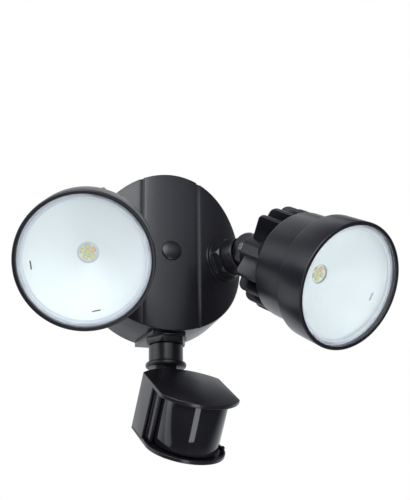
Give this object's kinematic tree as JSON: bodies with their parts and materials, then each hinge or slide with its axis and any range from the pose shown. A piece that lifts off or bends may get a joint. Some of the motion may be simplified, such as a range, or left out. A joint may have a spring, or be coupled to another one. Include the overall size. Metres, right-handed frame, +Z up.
{
  "type": "motion sensor security light",
  "caption": "Wall-mounted security light: round canopy, finned lamp heads on tilting swivel arms, and a hooded motion sensor below on its own swivel arm.",
  "frame": {"origin": "centre of the crossbar's back face, on the wall plane behind the canopy's centre", "axes": "+Y into the wall, so the light stands out towards -Y; +Z up; +X to the viewer's right as one faces the wall"},
  "size_m": [0.2801, 0.1875, 0.2339],
  "materials": {
    "canopy_paint": "satin",
    "head_paint": "satin",
    "arm_paint": "satin",
    "nut_paint": "satin",
    "gasket_rubber": "matte",
    "lens_seal_white": "matte",
    "zinc_steel": "satin",
    "screw_steel": "satin",
    "ground_screw_green": "satin",
    "plug_plastic": "satin",
    "driver_plastic": "matte",
    "lens_glass": "gloss",
    "reflector_white": "satin",
    "led_board_white": "matte",
    "led_yellow": "satin",
    "sensor_plastic": "satin",
    "sensor_window": "gloss",
    "circuit_board": "satin",
    "detector_can": "satin",
    "control_plastic": "satin"
  },
  "bodies": {
    "canopy": {"canopy_housing": "canopy_paint", "wall_gasket": "gasket_rubber", "crossbar": "zinc_steel", "centre_screw": "screw_steel", "centre_plug": "plug_plastic", "led_driver": "driver_plastic", "driver_screws": "screw_steel", "ground_screw": "ground_screw_green", "left_lock_nut": "nut_paint", "right_lock_nut": "nut_paint", "sensor_lock_nut": "nut_paint"},
    "left_swivel": {"left_arm": "arm_paint"},
    "left_head": {"left_heat_sink": "head_paint", "left_front_ring": "head_paint", "left_lens_gasket": "lens_seal_white", "left_lens": "lens_glass", "left_reflector": "reflector_white", "left_led_board": "led_board_white", "left_led_chips": "led_yellow", "left_board_screws": "screw_steel", "left_clamp_screw": "screw_steel", "left_clamp_nut": "screw_steel"},
    "right_swivel": {"right_arm": "arm_paint"},
    "right_head": {"right_heat_sink": "head_paint", "right_front_ring": "head_paint", "right_lens_gasket": "lens_seal_white", "right_lens": "lens_glass", "right_reflector": "reflector_white", "right_led_board": "led_board_white", "right_led_chips": "led_yellow", "right_board_screws": "screw_steel", "right_clamp_screw": "screw_steel", "right_clamp_nut": "screw_steel"},
    "sensor_swivel": {"sensor_arm": "arm_paint"},
    "sensor_head": {"sensor_housing": "sensor_plastic", "sensor_bottom_cover": "sensor_plastic", "sensor_lens_frame": "sensor_plastic", "sensor_lens": "sensor_window", "sensor_board": "circuit_board", "pir_detector": "detector_can", "sensor_clamp_screw": "screw_steel", "sensor_clamp_nut": "screw_steel"},
    "time_slider": {"time_switch": "control_plastic"},
    "range_knob": {"range_dial": "control_plastic"}
  },
  "joints": [
    {"name": "left_turn", "type": "hinge", "parent": "canopy", "child": "left_swivel", "pos_m": [-0.0457, -0.04142, 0], "axis": [-0.476, -0.8794, 0], "range_deg": [-110.8, 9.2]},
    {"name": "left_tilt", "type": "hinge", "parent": "left_swivel", "child": "left_head", "pos_m": [-0.05967, -0.06724, 0], "axis": [0.8221, -0.445, 0.3551], "range_deg": [-61.5, 18.5]},
    {"name": "right_turn", "type": "hinge", "parent": "canopy", "child": "right_swivel", "pos_m": [0.0457, -0.04142, 0], "axis": [0.476, -0.8794, 0], "range_deg": [-24.9, 95.1]},
    {"name": "right_tilt", "type": "hinge", "parent": "right_swivel", "child": "right_head", "pos_m": [0.05967, -0.06724, 0], "axis": [0.8759, 0.4742, -0.0889], "range_deg": [-60.1, 19.9]},
    {"name": "sensor_turn", "type": "hinge", "parent": "canopy", "child": "sensor_swivel", "pos_m": [0, -0.0346, -0.065], "axis": [0, 0, 1], "range_deg": [-52.9, 37.1]},
    {"name": "sensor_tilt", "type": "hinge", "parent": "sensor_swivel", "child": "sensor_head", "pos_m": [0, -0.0346, -0.1005], "axis": [0.9905, 0.1374, 0], "range_deg": [-9, 36.6]},
    {"name": "time_slide", "type": "slide", "parent": "sensor_head", "child": "time_slider", "axis": [0.9905, 0.1374, 0], "range_m": [0, 0.005]},
    {"name": "range_turn", "type": "hinge", "parent": "sensor_head", "child": "range_knob", "pos_m": [0.01379, -0.04664, -0.1404], "axis": [-0.0757, 0.5453, -0.8348], "range_deg": [-135, 135]}
  ]
}
